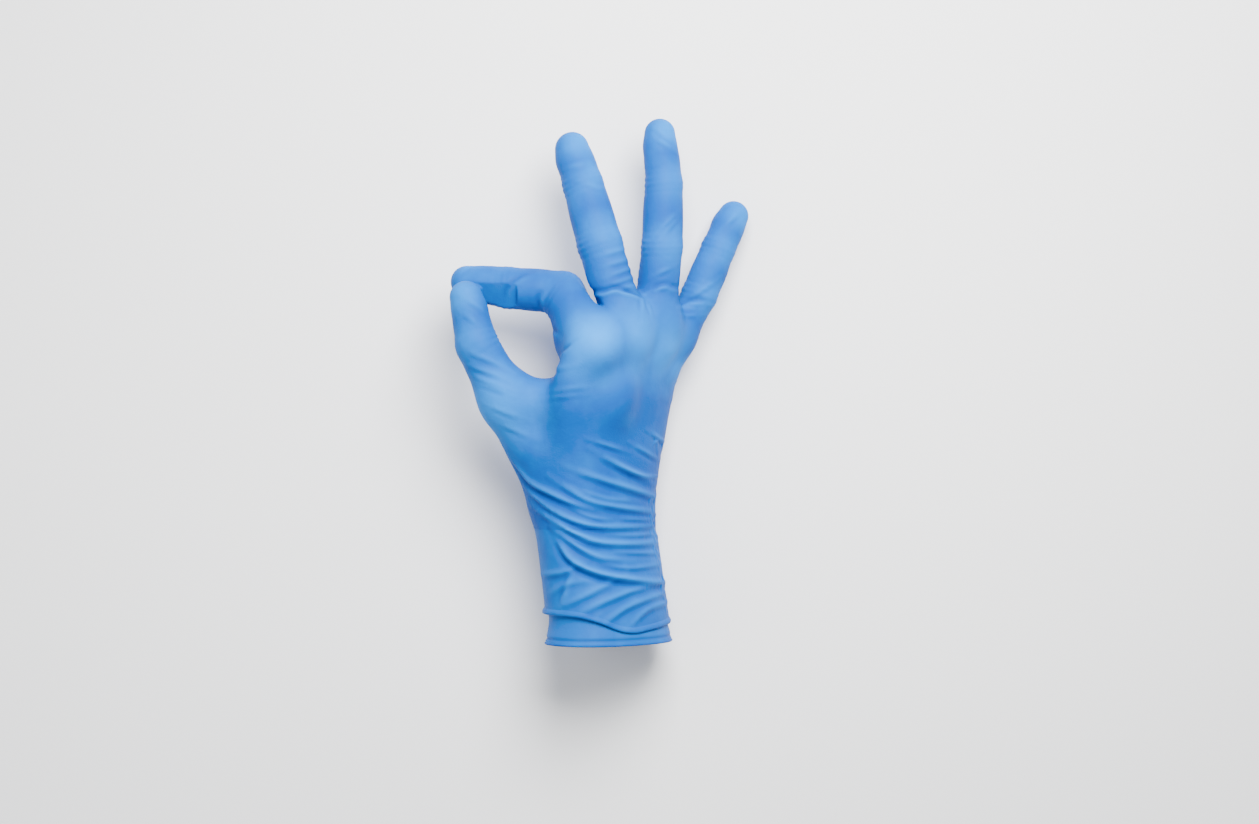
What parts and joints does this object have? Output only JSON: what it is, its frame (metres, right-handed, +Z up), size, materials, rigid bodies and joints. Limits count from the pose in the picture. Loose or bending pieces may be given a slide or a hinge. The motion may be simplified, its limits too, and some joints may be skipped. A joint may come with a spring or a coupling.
{
  "type": "disposable glove",
  "caption": "Thin blue dipped glove in its worn shape, thumb and forefinger closed in a ring, with a crumpled sleeve and a beaded cuff.",
  "frame": {"origin": "on the table, under the middle of the glove's box", "axes": "+Y from the cuff to the fingertips, +Z up from the table, through the side of the hand that faces up, +X to the right when seen from above with the fingers up"},
  "size_m": [0.1294, 0.2289, 0.068],
  "materials": {
    "hand_film": "matte",
    "cuff_film": "matte"
  },
  "bodies": {
    "cuff": {"cuff_sleeve": "cuff_film", "cuff_band": "cuff_film", "cuff_bead": "cuff_film"},
    "palm": {"palm": "hand_film"},
    "thumb_proximal": {"thumb_proximal": "hand_film"},
    "thumb_tip": {"thumb_tip": "hand_film"},
    "index_proximal": {"index_proximal": "hand_film"},
    "index_middle": {"index_middle": "hand_film"},
    "index_tip": {"index_tip": "hand_film"},
    "middle_proximal": {"middle_proximal": "hand_film"},
    "middle_middle": {"middle_middle": "hand_film"},
    "middle_tip": {"middle_tip": "hand_film"},
    "ring_proximal": {"ring_proximal": "hand_film"},
    "ring_middle": {"ring_middle": "hand_film"},
    "ring_tip": {"ring_tip": "hand_film"},
    "little_proximal": {"little_proximal": "hand_film"},
    "little_middle": {"little_middle": "hand_film"},
    "little_tip": {"little_tip": "hand_film"}
  },
  "joints": [
    {"name": "wrist_bend", "type": "hinge", "parent": "cuff", "child": "palm", "pos_m": [-0.002, -0.05745, 0.028], "axis": [-0.6428, 0, 0.766], "range_deg": [-20, 20]},
    {"name": "thumb_knuckle", "type": "hinge", "parent": "palm", "child": "thumb_proximal", "pos_m": [-0.0405, -0.00875, 0.043], "axis": [-0.798, -0.1995, -0.5686], "range_deg": [-24, 0]},
    {"name": "thumb_crease", "type": "hinge", "parent": "thumb_proximal", "child": "thumb_tip", "pos_m": [-0.053, 0.01515, 0.045], "axis": [-0.798, -0.1995, -0.5686], "range_deg": [-15, 0]},
    {"name": "index_knuckle", "type": "hinge", "parent": "palm", "child": "index_proximal", "pos_m": [-0.002, 0.01255, 0.058], "axis": [-0.9233, -0.3301, 0.1961], "range_deg": [-45, 0]},
    {"name": "index_crease", "type": "hinge", "parent": "index_proximal", "child": "index_middle", "pos_m": [-0.016, 0.03805, 0.035], "axis": [0.0901, 0.6875, 0.7206], "range_deg": [-58, 0]},
    {"name": "index_tip_crease", "type": "hinge", "parent": "index_middle", "child": "index_tip", "pos_m": [-0.04, 0.04005, 0.0335], "axis": [0.0901, 0.6875, 0.7206], "range_deg": [-8, 0]},
    {"name": "middle_knuckle", "type": "hinge", "parent": "palm", "child": "middle_proximal", "pos_m": [0.0115, 0.01655, 0.043], "axis": [-0.6428, 0, 0.766], "range_deg": [-15, 0]},
    {"name": "middle_crease", "type": "hinge", "parent": "middle_proximal", "child": "middle_middle", "pos_m": [0, 0.05855, 0.0395], "axis": [-0.6428, 0, 0.766], "range_deg": [-5, 60]},
    {"name": "middle_tip_crease", "type": "hinge", "parent": "middle_middle", "child": "middle_tip", "pos_m": [-0.0075, 0.08505, 0.0345], "axis": [-0.6428, 0, 0.766], "range_deg": [-4, 40]},
    {"name": "ring_knuckle", "type": "hinge", "parent": "palm", "child": "ring_proximal", "pos_m": [0.023, 0.01555, 0.0295], "axis": [-0.6428, 0, 0.766], "range_deg": [-10, 45]},
    {"name": "ring_crease", "type": "hinge", "parent": "ring_proximal", "child": "ring_middle", "pos_m": [0.027, 0.05805, 0.031], "axis": [-0.6428, 0, 0.766], "range_deg": [-5, 60]},
    {"name": "ring_tip_crease", "type": "hinge", "parent": "ring_middle", "child": "ring_tip", "pos_m": [0.0278, 0.08555, 0.0295], "axis": [-0.6428, 0, 0.766], "range_deg": [-4, 40]},
    {"name": "little_knuckle", "type": "hinge", "parent": "palm", "child": "little_proximal", "pos_m": [0.031, 0.00755, 0.0165], "axis": [-0.6428, 0, 0.766], "range_deg": [-10, 45]},
    {"name": "little_crease", "type": "hinge", "parent": "little_proximal", "child": "little_middle", "pos_m": [0.0435, 0.03755, 0.016], "axis": [-0.6428, 0, 0.766], "range_deg": [-5, 60]},
    {"name": "little_tip_crease", "type": "hinge", "parent": "little_middle", "child": "little_tip", "pos_m": [0.052, 0.05805, 0.013], "axis": [-0.6428, 0, 0.766], "range_deg": [-4, 40]}
  ],
  "couplings": [
    {"joint": "middle_tip_crease", "follows": "middle_crease", "ratio": 0.65},
    {"joint": "ring_tip_crease", "follows": "ring_crease", "ratio": 0.65},
    {"joint": "little_tip_crease", "follows": "little_crease", "ratio": 0.65}
  ]
}
